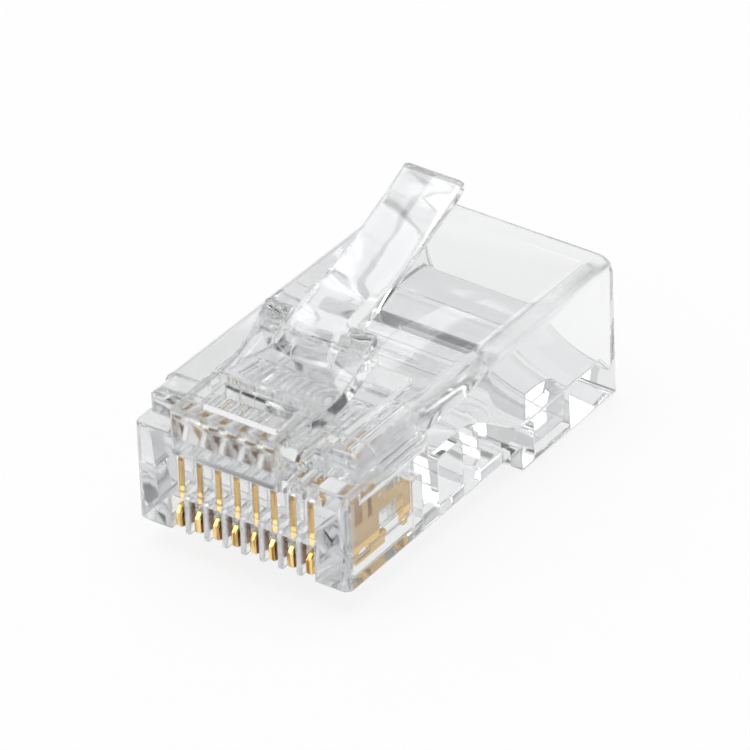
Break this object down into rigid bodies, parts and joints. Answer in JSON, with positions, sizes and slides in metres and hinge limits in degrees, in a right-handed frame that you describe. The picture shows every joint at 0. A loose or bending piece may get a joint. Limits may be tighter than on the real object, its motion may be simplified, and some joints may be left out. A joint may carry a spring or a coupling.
{
  "type": "modular plug",
  "caption": "Clear modular plug for data cable, with a flexing latch lever on top, gilt contact blades in a comb at the nose and an open cable entry at the back.",
  "frame": {"origin": "middle of the nose face's lower edge, at the underside of the nose", "axes": "+X across the width, +Y from the nose face back to the cable entry, +Z from the contact side up to the latch side"},
  "size_m": [0.0116, 0.0227, 0.0133],
  "materials": {
    "clear_plastic": "clear moulded polycarbonate, polished",
    "gilt_contact": "gold flash on stamped bronze, bright"
  },
  "bodies": {
    "plug_body": {"housing": "clear_plastic", "contact_1": "gilt_contact", "contact_2": "gilt_contact", "contact_3": "gilt_contact", "contact_4": "gilt_contact", "contact_5": "gilt_contact", "contact_6": "gilt_contact", "contact_7": "gilt_contact", "contact_8": "gilt_contact"},
    "latch_body": {"latch": "clear_plastic"}
  },
  "joints": [
    {"name": "latch_flex", "type": "hinge", "parent": "plug_body", "child": "latch_body", "pos_m": [0, 0.0012, 0.00707], "axis": [1, 0, 0], "range_deg": [-15, 0], "stiffness_Nm_per_rad": 0.4}
  ]
}
